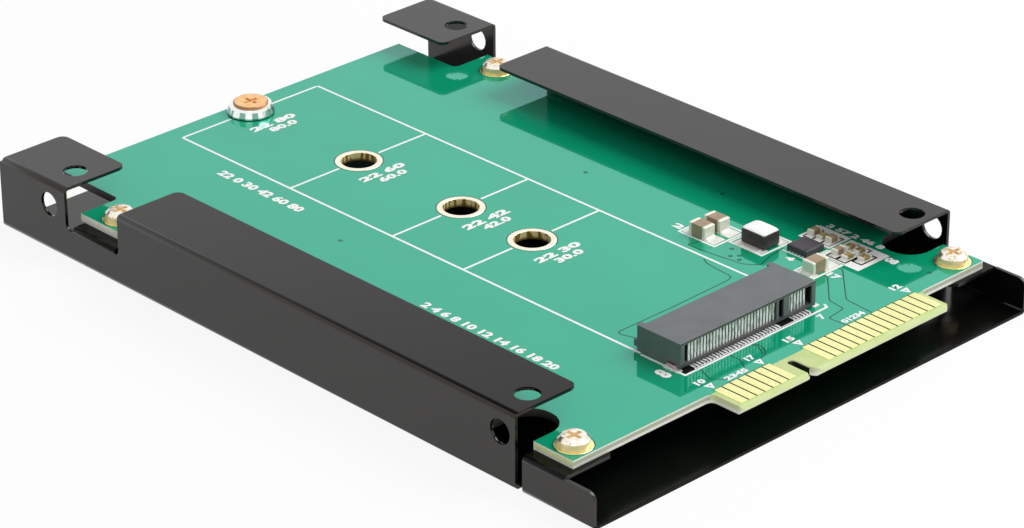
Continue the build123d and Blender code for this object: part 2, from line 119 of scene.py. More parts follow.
TONGUE_LONG = 4.4
BOARD_FRONT = BOARD_TIP + TONGUE_LONG
FLANGE_EDGE = 25.5
FLANGE_NEAR, FLANGE_FAR = -38.5, 30.5
FLANGE_SKIN = 0.15
FRONT_LEDGE = (-45.56, -38.9)
REAR_LEDGE = (28.5, 36.5)
LEDGE_LEVELS = (BOARD_LOW - 0.42, BOARD_LOW + 0.1)
FLOOR_RIM_TOP = 0.5
FLOOR_RIM_REAR = FRAME_FRONT + 0.15
KEY_LEFT, KEY_RIGHT = -1.3, -0.2
NOTCH = (-39.05, -32.85)
NOTCH_DEEP = 5.8
CORNER_CUT = 10.7
YELLOW_FIBRE = (-38.0, -30.0)
NUT_RADIUS = 3.4
WINDOW_SIDES = (SOCKET_LOW.x + 0.55, SOCKET_HIGH.x - 0.55)
WINDOW_DEPTHS = (SOCKET_LOW.y + 0.2, SOCKET_LOW.y + 1.5)
WINDOW_LEVELS = (BOARD_TOP + 0.61, SOCKET_HIGH.z - 0.2)
SILL_TOP = BOARD_TOP + 0.62


# Shader helpers

def start_material(name, roughness, metallic=0.0, ior=1.5):
    """A new material, its tree, its shader and the place on the object."""
    material = bpy.data.materials.new(name)
    material.use_nodes = True
    tree = material.node_tree
    shader = tree.nodes["Principled BSDF"]
    shader.inputs["Roughness"].default_value = roughness
    shader.inputs["Metallic"].default_value = metallic
    shader.inputs["IOR"].default_value = ior
    place = tree.nodes.new("ShaderNodeTexCoord").outputs["Object"]
    return material, tree, shader, place


def noise(tree, place, size, detail=3.0, stretch=(1.0, 1.0, 1.0)):
    """Cloudy pattern whose patches are about size millimetres across."""
    mapping = tree.nodes.new("ShaderNodeMapping")
    mapping.inputs["Scale"].default_value = [1.0 / (size * MM * s) for s in stretch]
    texture = tree.nodes.new("ShaderNodeTexNoise")
    texture.inputs["Scale"].default_value = 1.0
    texture.inputs["Detail"].default_value = detail
    tree.links.new(place, mapping.inputs["Vector"])
    tree.links.new(mapping.outputs["Vector"], texture.inputs["Vector"])
    return texture.outputs["Fac"]


def waves(tree, place, size, direction):
    """Fine parallel ridges, size millimetres apart."""
    ridge_at_scale_one = 0.314
    texture = tree.nodes.new("ShaderNodeTexWave")
    texture.bands_direction = direction
    texture.inputs["Scale"].default_value = ridge_at_scale_one / (size * MM)
    texture.inputs["Distortion"].default_value = 0.6
    texture.inputs["Detail"].default_value = 1.0
    tree.links.new(place, texture.inputs["Vector"])
    return texture.outputs["Fac"]


def feed(tree, socket, value):
    """Gives a socket a number, a colour or a link."""
    if isinstance(value, (int, float)):
        socket.default_value = value
    elif isinstance(value, (tuple, list)):
        socket.default_value = (*value[:3], 1.0)
    else:
        tree.links.new(value, socket)


def calc(tree, operation, a, b=0.0):
    node = tree.nodes.new("ShaderNodeMath")
    node.operation = operation
    feed(tree, node.inputs[0], a)
    feed(tree, node.inputs[1], b)
    return node.outputs[0]


def times(tree, a, b):
    """Product of two values; of two masks, 1 where both are 1."""
    return calc(tree, "MULTIPLY", a, b)


def either(tree, a, b):
    """The larger of two values; of two masks, 1 where one of them is 1."""
    return calc(tree, "MAXIMUM", a, b)


def over(tree, value, limit):
    return calc(tree, "GREATER_THAN", value, limit)


def past(tree, place, limit):
    """1 where a place is over a limit in millimetres, else 0."""
    return over(tree, place, limit * MM)


def before(tree, place, limit):
    """1 where a place is under a limit in millimetres, else 0."""
    return calc(tree, "LESS_THAN", place, limit * MM)


def between(tree, place, low, high):
    """1 where a place lies between two bounds in millimetres, else 0."""
    return times(tree, past(tree, place, low), before(tree, place, high))


def blend(tree, factor, first, second):
    node = tree.nodes.new("ShaderNodeMix")
    node.data_type = "RGBA"
    feed(tree, node.inputs["Factor"], factor)
    feed(tree, node.inputs["A"], first)
    feed(tree, node.inputs["B"], second)
    return node.outputs["Result"]


def layers(tree, level, lowest, *upper):
    """Colours by height: the lowest one, and each upper one from its own level on."""
    colour = lowest
    for start, above in upper:
        colour = blend(tree, over(tree, level, start), colour, above)
    return colour


def spread(tree, value, low, high, start=0.3, end=0.7):
    """Low to high while a value goes from start to end."""
    node = tree.nodes.new("ShaderNodeMapRange")
    feed(tree, node.inputs["Value"], value)
    node.inputs["From Min"].default_value = start
    node.inputs["From Max"].default_value = end
    node.inputs["To Min"].default_value = low
    node.inputs["To Max"].default_value = high
    return node.outputs["Result"]


def ramp(tree, value, start=0.3, end=0.7):
    """0 to 1 while a value goes from start to end."""
    return spread(tree, value, 0.0, 1.0, start, end)


def choice(tree, mask, low, high):
    """Low where a mask is 0 and high where it is 1."""
    return spread(tree, mask, low, high, 0.0, 1.0)


def relief(tree, shader, height, depth):
    """Small surface relief, depth millimetres deep."""
    node = tree.nodes.new("ShaderNodeBump")
    node.inputs["Strength"].default_value = 1.0
    node.inputs["Distance"].default_value = depth * MM
    tree.links.new(height, node.inputs["Height"])
    tree.links.new(node.outputs["Normal"], shader.inputs["Normal"])


def axes(tree, vector):
    node = tree.nodes.new("ShaderNodeSeparateXYZ")
    tree.links.new(vector, node.inputs[0])
    return node.outputs


def normal_axes(tree):
    return axes(tree, tree.nodes.new("ShaderNodeNewGeometry").outputs["Normal"])


def facing(tree, axis):
    """1 on faces that look straight along an axis, either way, and 0 on those beside it."""
    return calc(tree, "ABSOLUTE", normal_axes(tree)[axis])


def mottled(name, colour, other, patch, roughness, metallic=0.0, ior=1.5, grain=0.2,
            depth=0.004, roughness_swing=0.06):
    """A material with cloudy colour, cloudy roughness and a fine grain."""
    worn_share, least_roughness = 0.45, 0.02
    material, tree, shader, place = start_material(name, roughness, metallic, ior)
    cloud = ramp(tree, noise(tree, place, patch))
    tree.links.new(blend(tree, cloud, colour, other), shader.inputs["Base Color"])
    wear = noise(tree, place, patch * worn_share, detail=4.0)
    low, high = max(least_roughness, roughness - roughness_swing), roughness + roughness_swing
    tree.links.new(spread(tree, wear, low, high), shader.inputs["Roughness"])
    relief(tree, shader, noise(tree, place, grain, detail=2.0), depth)
    return material


def reopened(material):
    """Tree, shader, the place's axes and the colour so far of a mottled material."""
    tree = material.node_tree
    shader = tree.nodes["Principled BSDF"]
    spot = axes(tree, tree.nodes["Texture Coordinate"].outputs["Object"])
    return tree, shader, spot, shader.inputs["Base Color"].links[0].from_socket


# Materials

def black_paint():
    """Smooth baked paint, glossy enough to mirror the frame's own slots.

    The left flange's reflection carries painted shade that darkens it towards the front, and the
    ledges and the floor's front rim mirror less than the rest.
    """
    material = mottled("black_paint", (0.0034, 0.0032, 0.0029), (0.0047, 0.0044, 0.004), 7.0, 0.16,
                       grain=0.9, depth=0.0012, roughness_swing=0.02)
    tree, shader, spot, _ = reopened(material)
    flange = times(tree, before(tree, spot["X"], -FLANGE_EDGE),
                   between(tree, spot["Y"], FLANGE_NEAR, FLANGE_FAR))
    flange = times(tree, flange, past(tree, spot["Z"], FRAME_TOP - FLANGE_SKIN))
    # Painted shade in the reflection: on the left flange the specular tint falls to near black towards the
    # front.
    along = ramp(tree, spot["Y"], FLANGE_NEAR * MM, FLANGE_FAR * MM)
    dull = blend(tree, along, (0.06, 0.02, 0.0), (0.8, 0.74, 0.7))
    tree.links.new(blend(tree, flange, (1.0, 0.955, 0.925), dull), shader.inputs["Specular Tint"])
    ledge = either(tree, between(tree, spot["Y"], *FRONT_LEDGE), between(tree, spot["Y"], *REAR_LEDGE))
    ledge = times(tree, ledge, between(tree, spot["Z"], *LEDGE_LEVELS))
    rim = times(tree, before(tree, spot["Z"], FLOOR_RIM_TOP), before(tree, spot["Y"], FLOOR_RIM_REAR))
    plain_ior, ledge_loss, flange_loss = 1.5, 0.3, 0.1
    loss = times(tree, either(tree, ledge, rim), ledge_loss)
    loss = calc(tree, "ADD", loss, times(tree, flange, flange_loss))
    tree.links.new(calc(tree, "SUBTRACT", plain_ior, loss), shader.inputs["IOR"])
    return material


def board_edge(tree, place, spot, level):
    """Cut edge: pale resin at both faces and glass fibre between; the side faces get a brighter copy as
    painted light, yellow near the front of the sides.
    """
    resin = (1.0, 1.0, 0.92)
    edge = layers(tree, level, resin, (0.36, (0.5, 0.54, 0.4)), (0.78, (0.98, 0.99, 0.9)))
    # Painted light: faces that look along X get brighter, yellower layers than the front and rear edges.
    rearward = ramp(tree, spot["Y"], YELLOW_FIBRE[0] * MM, YELLOW_FIBRE[1] * MM)
    fibre = blend(tree, rearward, (0.86, 0.96, 0.46), (0.94, 0.99, 0.84))
    side = layers(tree, level, resin, (0.3, fibre), (0.84, (1.0, 1.0, 0.86)))
    edge = blend(tree, over(tree, facing(tree, "X"), 0.8), edge, side)
    stain = spread(tree, noise(tree, place, 0.9), 0.0, 0.25)
    return blend(tree, stain, edge, (0.66, 0.72, 0.5))


def sheltered_edge(tree, spot, level, edge):
    """The cut edge, with painted shade in the side notches, at the cut rear corners and in the key slot.
    """
    across = calc(tree, "ABSOLUTE", spot["X"])
    # Painted shade: the cut edges inside the side notches and at the cut rear corners are near black.
    cut = past(tree, spot["Y"], BOARD_REAR - CORNER_CUT)
    notch_and_corner_shade = times(tree, either(tree, between(tree, spot["Y"], *NOTCH), cut),
                    between(tree, across, BOARD_SIDE - NOTCH_DEEP, BOARD_SIDE - 0.05))
    edge = blend(tree, notch_and_corner_shade, edge, blend(tree, level, (0.012, 0.012, 0.01), (0.1, 0.11, 0.095)))
    # Painted shade on the key slot's walls, pale only along their top.
    slot = times(tree, between(tree, spot["X"], KEY_LEFT - 0.06, KEY_RIGHT + 0.06),
                 between(tree, spot["Y"], BOARD_TIP + 0.1, BOARD_FRONT + 1.0))
    lining = layers(tree, level, (0.015, 0.016, 0.01), (0.86, (0.8, 0.86, 0.6)))
    return blend(tree, slot, edge, lining)


def solder_mask_board():
    """Glossy green mask on both faces; bare glass fibre on the tongue and the edges."""
    material, tree, shader, place = start_material("solder_mask_board", 0.05)
    spot = axes(tree, place)
    level = ramp(tree, spot["Z"], BOARD_LOW * MM, BOARD_TOP * MM)
    flat = over(tree, facing(tree, "Z"), 0.6)
    tongue = before(tree, spot["Y"], BOARD_FRONT - 0.12)
    masked = times(tree, flat, calc(tree, "SUBTRACT", 1.0, tongue))
    weave = times(tree, waves(tree, place, 0.55, "X"), waves(tree, place, 0.5, "Y"))
    pour = ramp(tree, noise(tree, place, 14.0, 2.0))
    green = blend(tree, pour, (0.0035, 0.345, 0.168), (0.0045, 0.37, 0.19))
    green = blend(tree, times(tree, weave, 0.12), green, (0.003, 0.29, 0.135))
    cloud = ramp(tree, noise(tree, place, 1.6))
    glass = blend(tree, cloud, (0.53, 0.66, 0.24), (0.63, 0.73, 0.33))
    glass = blend(tree, times(tree, weave, 0.2), glass, (0.38, 0.52, 0.14))
    tip = layers(tree, level, (1.0, 1.0, 0.86), (0.4, (0.78, 0.86, 0.5)))
    edge = blend(tree, tongue, board_edge(tree, place, spot, level), tip)
    edge = sheltered_edge(tree, spot, level, edge)
    bare = blend(tree, flat, edge, glass)
    tree.links.new(blend(tree, masked, bare, green), shader.inputs["Base Color"])
    tree.links.new(choice(tree, masked, 0.42, 0.04), shader.inputs["Roughness"])
    tree.links.new(choice(tree, masked, 1.5, 2.3), shader.inputs["IOR"])
    tint = blend(tree, masked, (1.0, 1.0, 1.0), (0.22, 1.0, 0.92))
    tree.links.new(tint, shader.inputs["Specular Tint"])
    relief(tree, shader, weave, 0.0012)
    return material


def gold():
    """Plating of the edge contacts and the board screws' rings."""
    return mottled("gold_finish", (0.98, 0.97, 0.48), (0.95, 0.92, 0.42), 1.6, 0.24, metallic=1.0,
                   grain=0.12, depth=0.002)


def hole_gold():
    """Pale plating of the card holes' rings."""
    return mottled("hole_gold", (1.0, 0.95, 0.82), (0.96, 0.88, 0.7), 1.3, 0.22, metallic=1.0,
                   grain=0.3, depth=0.004)


def bore_gold():
    """Plating inside the card holes, with painted glints in streaks from top to bottom and painted shade
    at its foot.
    """
    material, tree, shader, place = start_material("bore_gold", 0.36, 0.1)
    height = axes(tree, place)["Z"]
    # Painted shade at the foot of the bore, below the lit part.
    lit = ramp(tree, height, (BOARD_LOW + 0.1) * MM, (BOARD_LOW + 0.45) * MM)
    streaks = noise(tree, place, 0.5, 1.0, (1.0, 1.0, 5.0))
    # Painted glints: bright gold streaks between darker gold down the bore.
    bright = blend(tree, ramp(tree, streaks, 0.42, 0.52), (0.3, 0.18, 0.03), (1.0, 0.9, 0.46))
    tree.links.new(blend(tree, lit, (0.12, 0.08, 0.02), bright), shader.inputs["Base Color"])
    relief(tree, shader, streaks, 0.06)
    return material


def screw_metal():
    """Pale gilt tops, with darker gold where the finish is thin, and golden sides that are painted
    reflection: a warmer copy of the plating that mirrors little.
    """
    material, tree, shader, place = start_material("screw_finish", 0.2, 0.85)
    cloud = ramp(tree, noise(tree, place, 0.8))
    base = blend(tree, cloud, (1.0, 0.96, 0.88), (0.94, 0.86, 0.7))
    thin = spread(tree, noise(tree, place, 0.35, 2.0), 0.0, 0.8, 0.58, 0.66)
    face = blend(tree, thin, base, (0.55, 0.4, 0.16))
    # Painted reflection: the sides get a warmer gold with little mirror, standing in for the light they
    # reflect.
    side = blend(tree, cloud, (1.0, 0.8, 0.5), (0.86, 0.66, 0.34))
    top = ramp(tree, facing(tree, "Z"), 0.2, 0.6)
    tree.links.new(blend(tree, top, side, face), shader.inputs["Base Color"])
    tree.links.new(choice(tree, cloud, 0.14, 0.26), shader.inputs["Roughness"])
    tree.links.new(choice(tree, top, 0.15, 0.85), shader.inputs["Metallic"])
    tree.links.new(choice(tree, top, 1.25, 1.5), shader.inputs["IOR"])
    relief(tree, shader, noise(tree, place, 0.5, 1.0), 0.02)
    return material


def turned_metal():
    """Bright nut with painted reflections of the green board in streaks down its flank, and a dark line of
    painted shade where it meets the board.

    The flank carries the painted green reflection all over where it turns away to the left and right of
    the view.
    """
    photo_right = (0.72, -0.69)
    turned_away, off_centre = (2.0, 2.25), 0.25
    flank_top, contact_shade_top = 0.95, 0.13
    material, tree, shader, place = start_material("nut_painted_reflections", 0.15, 0.9)
    spot = axes(tree, place)
    back = calc(tree, "SUBTRACT", spot["Y"], NUT_Y * MM)
    turn = calc(tree, "ARCTAN2", back, spot["X"])
    ring = tree.nodes.new("ShaderNodeCombineXYZ")
    tree.links.new(times(tree, turn, NUT_RADIUS * MM), ring.inputs[0])
    # Painted reflection: greenish streaks of the mirrored board down the flank.
    bands = ramp(tree, noise(tree, ring.outputs[0], 1.9, 1.0), 0.485, 0.52)
    sideways = calc(tree, "ADD", times(tree, spot["X"], photo_right[0]), times(tree, back, photo_right[1]))
    sideways = calc(tree, "ABSOLUTE", calc(tree, "ADD", sideways, off_centre * MM))
    dull = either(tree, bands, ramp(tree, sideways, turned_away[0] * MM, turned_away[1] * MM))
    white = blend(tree, noise(tree, place, 1.1), (0.95, 0.97, 0.95), (0.9, 0.94, 0.9))
    board_reflection = blend(tree, times(tree, dull, 0.9), white, (0.13, 0.37, 0.28))
    height = calc(tree, "SUBTRACT", spot["Z"], BOARD_TOP * MM)
    colour = blend(tree, before(tree, height, flank_top), white, board_reflection)
    # Painted shade: a dark line at the foot, where the nut meets the board.
    colour = blend(tree, before(tree, height, contact_shade_top), colour, (0.01, 0.05, 0.035))
    tree.links.new(colour, shader.inputs["Base Color"])
    grooves = waves(tree, place, 0.09, "Z")
    tree.links.new(choice(tree, grooves, 0.1, 0.2), shader.inputs["Roughness"])
    relief(tree, shader, grooves, 0.0012)
    return material


def copper():
    """Coppery screw head, browner round its rim, with painted shade in its recess."""
    rim_start, rim_end = 1.92, 2.12
    recess_radius, recess_start = 1.3, 0.1
    material = mottled("copper_finish", (0.98, 0.64, 0.33), (0.84, 0.49, 0.2), 0.9, 0.44, metallic=0.75,
                       grain=0.3, depth=0.014)
    tree, shader, spot, face = reopened(material)
    back = calc(tree, "SUBTRACT", spot["Y"], NUT_Y * MM)
    squares = calc(tree, "ADD", times(tree, spot["X"], spot["X"]), times(tree, back, back))
    away = calc(tree, "SQRT", squares)
    rim = spread(tree, away, 0.0, 0.85, rim_start * MM, rim_end * MM)
    # Painted shade in the recess, at 0.4 of the rim's browning.
    recess = times(tree, before(tree, spot["Z"], SCREW_TOP - recess_start),
                   before(tree, away, recess_radius))
    tone_mask = either(tree, rim, times(tree, recess, 0.4))
    tree.links.new(blend(tree, tone_mask, face, (0.3, 0.12, 0.05)), shader.inputs["Base Color"])
    return material


def nail_metal():
    """Solder-wetted nail, its upper part dull and reddish."""
    material = mottled("nail_finish", (0.95, 0.9, 0.87), (0.5, 0.36, 0.34), 0.35, 0.4, metallic=0.2,
                       grain=0.2, depth=0.004)
    tree, shader, spot, wetted = reopened(material)
    bare = ramp(tree, spot["Z"], (BOARD_TOP + 0.22) * MM, (BOARD_TOP + 0.34) * MM)
    tree.links.new(blend(tree, bare, wetted, (0.07, 0.035, 0.035)), shader.inputs["Base Color"])
    return material


def socket_moulding():
    """Dark grey moulding, black far inside the window as painted shade and along its front top edge, dark
    on its sill.
    """
    material = mottled("socket_moulding", (0.106, 0.117, 0.119), (0.128, 0.14, 0.142), 3.0, 0.45,
                       grain=0.14, depth=0.006)
    tree, shader, spot, outside = reopened(material)
    # Painted shade: near black far inside the window.
    window_shade = times(tree, between(tree, spot["Y"], *WINDOW_DEPTHS), between(tree, spot["X"], *WINDOW_SIDES))
    window_shade = times(tree, window_shade, between(tree, spot["Z"], *WINDOW_LEVELS))
    front = before(tree, spot["Y"], SOCKET_LOW.y + 0.05)
    edge = times(tree, front, past(tree, spot["Z"], SOCKET_HIGH.z - 0.12))
    sill = times(tree, front, before(tree, spot["Z"], SILL_TOP))
    outside = blend(tree, times(tree, sill, 0.5), outside, (0.02, 0.02, 0.02))
    colour = blend(tree, either(tree, window_shade, edge), outside, (0.008, 0.009, 0.009))
    tree.links.new(colour, shader.inputs["Base Color"])
    return material


def tinned():
    """Tinned pads and terminals."""
    return mottled("tinned_finish", (0.97, 0.96, 0.9), (0.84, 0.83, 0.76), 0.5, 0.36, metallic=0.25,
                   grain=0.2, depth=0.003, roughness_swing=0.08)


def contact_metal():
    """Plated contacts, unevenly bright along their length, with painted shade on their flanks."""
    material, tree, shader, place = start_material("contact_finish", 0.34, 0.12, 1.4)
    tone_mask = ramp(tree, noise(tree, place, 0.3, 2.0, (0.8, 1.0, 3.0)), 0.36, 0.56)
    colour = blend(tree, tone_mask, (0.42, 0.42, 0.41), (0.98, 0.97, 0.96))
    # Painted shade: flanks that face along X go near black at the feet and about half dark above them.
    flank = over(tree, facing(tree, "X"), 0.7)
    foot = before(tree, axes(tree, place)["Z"], BOARD_TOP + 0.45)
    shade = times(tree, flank, choice(tree, foot, 0.45, 0.97))
    tree.links.new(blend(tree, shade, colour, (0.01, 0.012, 0.01)), shader.inputs["Base Color"])
    relief(tree, shader, tone_mask, 0.01)
    return material


def solder():
    """Solder at the terminals' feet."""
    return mottled("solder_finish", (0.86, 0.87, 0.82), (0.78, 0.79, 0.73), 0.6, 0.4, metallic=0.25,
                   grain=0.3, depth=0.006, roughness_swing=0.06)


def ceramic():
    """Brown bodies of the chip capacitors."""
    return mottled("fired_ceramic", (0.4, 0.29, 0.185), (0.33, 0.235, 0.145), 0.8, 0.42,
                   grain=0.09, depth=0.008)


def end_cap():
    """Pale end caps of the chip capacitors."""
    return mottled("end_cap_finish", (0.93, 0.9, 0.78), (0.84, 0.81, 0.68), 0.5, 0.38, metallic=0.12,
                   grain=0.2, depth=0.008)


def inductor_coat():
    """White top face over dark sides."""
    material, tree, shader, place = start_material("inductor_coat", 0.45, ior=1.38)
    up = ramp(tree, normal_axes(tree)["Z"], 0.45, 0.8)
    cloud = ramp(tree, noise(tree, place, 0.6))
    side = blend(tree, cloud, (0.046, 0.03, 0.031), (0.064, 0.042, 0.043))
    top = blend(tree, cloud, (0.95, 0.955, 0.945), (0.98, 0.985, 0.975))
    tree.links.new(blend(tree, up, side, top), shader.inputs["Base Color"])
    relief(tree, shader, noise(tree, place, 0.12), 0.01)
    return material


def package():
    """Dark moulding of the regulator."""
    return mottled("package_moulding", (0.03, 0.026, 0.034), (0.042, 0.036, 0.046), 1.2, 0.42,
                   grain=0.09, depth=0.008)


def dark_chip():
    """Brown and amber bodies of the small resistors."""
    return mottled("resistor_glass", (0.72, 0.54, 0.2), (0.07, 0.055, 0.03), 0.22, 0.3,
                   grain=0.08, depth=0.005)


def ink():
    """White print."""
    return mottled("white_ink", (0.99, 0.99, 0.98), (0.95, 0.96, 0.94), 0.7, 0.5,
                   grain=0.1, depth=0.01)


def trace_edge():
    """Dark green of the mask where it steps over copper."""
    return mottled("trace_edge", (0.004, 0.06, 0.042), (0.008, 0.085, 0.06), 2.0, 0.2, ior=1.3,
                   grain=0.3, depth=0.002)


def dark_mask():
    """Nearly black painted shade between contacts."""
    return mottled("dark_mask", (0.005, 0.006, 0.005), (0.01, 0.014, 0.011), 0.8, 0.6, ior=1.12,
                   grain=0.2, depth=0.003)


def dress_nodes():
    """Gives every solid its finish, and returns those that the added pieces share."""
    golden, bore, contacts, pale = gold(), bore_gold(), contact_metal(), tinned()
    fired, caps, coat = ceramic(), end_cap(), inductor_coat()
    finishes = {
        "frame": black_paint(),
        "circuit_board": solder_mask_board(),
        "board_screws": screw_metal(),
        "signal_pads": golden,
        "power_pads": golden,
        "standoff_nut": turned_metal(),
        "card_screw": copper(),
        "socket_housing": socket_moulding(),
        "socket_upper_contacts": contacts,
        "socket_lower_contacts": contacts,
        "socket_solder_nails": nail_metal(),
        "inductor_body": coat,
        "inductor_terminals": pale,
        "regulator_body": package(),
        "regulator_terminals": pale,
        "small_capacitor_bodies": fired,
        "small_capacitor_terminals": caps,
        "resistor_bodies": dark_chip(),
        "resistor_terminals": pale,
    }
    for length in (*OPEN_HOLES, NUT_HOLE):
        finishes[hole_name(length)] = bore
    for name in LARGE_CAPACITORS:
        finishes[name + "_body"] = fired
        finishes[name + "_terminals"] = caps
    for name, node in nodes.items():
        node.data.materials.clear()
        node.data.materials.append(finishes[name])
    return golden, pale, coat


def soften_edges(name, width, segments=2):
    """Small rounded edges on a solid, so that they catch the light."""
    weld_reach, least_bend = 0.002, 50.0
    node = nodes[name]
    weld = node.modifiers.new("weld", "WELD")
    weld.merge_threshold = weld_reach * MM
    bevel = node.modifiers.new("bevel", "BEVEL")
    bevel.width = width * MM
    bevel.segments = segments
    bevel.limit_method = "ANGLE"
    bevel.angle_limit = math.radians(least_bend)
    bevel.harden_normals = True


# Mesh helpers, in millimetres

def piece(name, mesh_data, material, smooth=False):
    """A scene piece made from a mesh, with its body."""
    mesh = bpy.data.meshes.new(name)
    bmesh.ops.recalc_face_normals(mesh_data, faces=mesh_data.faces)
    mesh_data.to_mesh(mesh)
    mesh_data.free()
    mesh.transform(Matrix.Scale(MM, 4))
    mesh.materials.append(material)
    if smooth:
        mesh.shade_smooth()
    thing = bpy.data.objects.new(name, mesh)
    bpy.context.scene.collection.objects.link(thing)
    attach(thing, "root")
    return thing


def ring_between(mesh, first, second):
    """Quads between two closed rings of equal length."""
    count = len(first)
    for i in range(count):
        j = (i + 1) % count
        mesh.faces.new((first[i], first[j], second[j], second[i]))


def plate(mesh, outline, low, high, hole=None):
    """A thin plate with the given outline, and one hole of as many points."""
    floor = [mesh.verts.new((x, y, low)) for x, y in outline]
    top = [mesh.verts.new((x, y, high)) for x, y in outline]
    ring_between(mesh, floor, top)
    if hole is None:
        mesh.faces.new(top)
        mesh.faces.new(floor)
        return
    floor_hole = [mesh.verts.new((x, y, low)) for x, y in hole]
    top_hole = [mesh.verts.new((x, y, high)) for x, y in hole]
    ring_between(mesh, floor_hole, top_hole)
    ring_between(mesh, floor, floor_hole)
    ring_between(mesh, top, top_hole)


def corners(x0, y0, x1, y1):
    return ((x0, y0), (x1, y0), (x1, y1), (x0, y1))


def rounded(x0, y0, x1, y1, radius, steps=4):
    """Outline of a rectangle with rounded corners."""
    points = []
    middles = ((x1 - radius, y1 - radius, 0), (x0 + radius, y1 - radius, 90),
               (x0 + radius, y0 + radius, 180), (x1 - radius, y0 + radius, 270))
    for cx, cy, start in middles:
        for i in range(steps + 1):
            angle = math.radians(start + 90 * i / steps)
            points.append((cx + radius * math.cos(angle), cy + radius * math.sin(angle)))
    return points


def eased(points, reach, steps=5):
    """The same path with its corners rounded over reach millimetres, or over less of a short leg."""
    leg_share = 0.45
    spots = [Vector(p) for p in points]
    path = [spots[0]]
    for before_it, corner, after_it in zip(spots, spots[1:], spots[2:]):
        back, ahead = before_it - corner, after_it - corner
        start = corner + back.normalized() * min(reach, back.length * leg_share)
        end = corner + ahead.normalized() * min(reach, ahead.length * leg_share)
        for i in range(steps + 1):
            t = i / steps
            path.append(start * (1 - t) ** 2 + corner * 2 * t * (1 - t) + end * t * t)
    return path + [spots[-1]]


def stroke(mesh, points, width, low, high, closed=False):
    """A flat line of even width with mitred corners."""
    sharpest_mitre = 0.4
    spots = [Vector(p) for p in points]
    count = len(spots)
    left, right = [], []
    for i, spot in enumerate(spots):
        back = spot - spots[i - 1] if closed or i > 0 else spots[1] - spot
        ahead = spots[(i + 1) % count] - spot if closed or i < count - 1 else back
        back, ahead = back.normalized(), ahead.normalized()
        along = (back + ahead).normalized()
        across = Vector((-along.y, along.x))
        reach = width / 2 / max(sharpest_mitre, across.dot(Vector((-ahead.y, ahead.x))))
        left.append(tuple(spot + across * reach))
        right.append(tuple(spot - across * reach))
    if closed:
        plate(mesh, left, low, high, hole=right)
    else:
        plate(mesh, left + right[::-1], low, high)


def circle(x, y, radius, steps):
    """Points round a circle."""
    angles = [2 * math.pi * i / steps for i in range(steps)]
    return [(x + radius * math.cos(angle), y + radius * math.sin(angle)) for angle in angles]


def lathe(mesh, x, y, profile, steps=48):
    """A closed profile of (radius, height) turned round the vertical axis."""
    rings = []
    for radius, height in profile:
        rings.append([mesh.verts.new((px, py, height)) for px, py in circle(x, y, radius, steps)])
    for i, ring in enumerate(rings):
        ring_between(mesh, ring, rings[(i + 1) % len(rings)])


# Print on the board

INK_LOW = BOARD_TOP - 0.004
INK_HIGH = BOARD_TOP + 0.018
GROUND_HIGH = BOARD_TOP + 0.003
CARD_HALF = 11.0
CARD_LINE, SOCKET_LINE, FEET_LINE = 0.32, 0.3, 0.1
CARD_LEFT_END = -33.25
SOCKET_FRONT, SOCKET_RIGHT = -40.24, 11.65
FEET_LINE_Y = -39.94

# Card length, and half the gap that its cross line leaves round the hole
CARD_ROWS = (("80", 3.25), ("60", 3.2), ("42", 3.2), ("30", 3.2))

# Number by each card hole, its place from the hole, its height and width
HOLE_NUMBERS = (("22 {}", -3.7, -5.05, 1.3, 7.0), ("{}.0", -2.0, -6.6, 1.25, 4.2))

# Left, front, right and rear of the outlines round single parts, and round the two groups
PART_BOXES = ((13.7, -21.0, 18.85, -15.4), (15.9, -26.4, 20.95, -21.4), (15.85, -34.5, 20.8, -31.6))
GROUP_BOXES = ((22.9, -30.5, 26.4, -26.0), (21.0, -36.6, 26.1, -31.1))
CORNER_MARK = ((18.75, -27.1), (18.75, -30.75), (22.4, -30.75))
PART_LINE, GROUP_LINE, CORNER_LINE = 0.3, 0.34, 0.26

# Numbers, the place of their lower left corner, their height, width and turn in degrees
ROW_NUMBERS = (
    ("22 0 30 42 60 80", -14.7, 34.3, 1.45, 14.9, -90),
    ("2 4 6 8 10 12 14 16 18 20", -20.6, -8.0, 1.3, 21.5, -90),
)
PART_NUMBERS = (
    ("2", 14.1, -13.7, 1.1, 1.5, -90),
    ("4", 17.2, -28.6, 0.9, 1.2, -90),
    ("17", 17.4, -34.8, 1.1, 1.7, -90),
    ("8", -13.25, -39.4, 2.2, 1.2, 0),
    ("7", 9.1, -41.9, 1.1, 0.85, 0),
    ("10", -11.9, -42.9, 1.0, 1.4, 0),
    ("17", -3.95, -42.9, 1.0, 1.3, 0),
    ("15", 2.25, -42.95, 1.0, 1.4, 0),
    ("12", 20.05, -42.9, 1.05, 1.5, 0),
    ("3 57 2 46 8", 26.75, -26.4, 1.05, 8.6, -90),
    ("08", 24.9, -36.9, 1.2, 1.7, -90),
    ("2345", -8.8, -44.35, 0.85, 3.4, 0),
    ("01234", 10.2, -44.35, 0.95, 3.5, 0),
)

# Half width, rear and tip of the arrows, and of the hollow in each
ARROW, ARROW_HOLLOW = (0.62, -43.3, -44.5), (0.16, -43.55, -43.9)
ARROW_PLACES = (-11.0, -3.2, 3.1, 21.1)


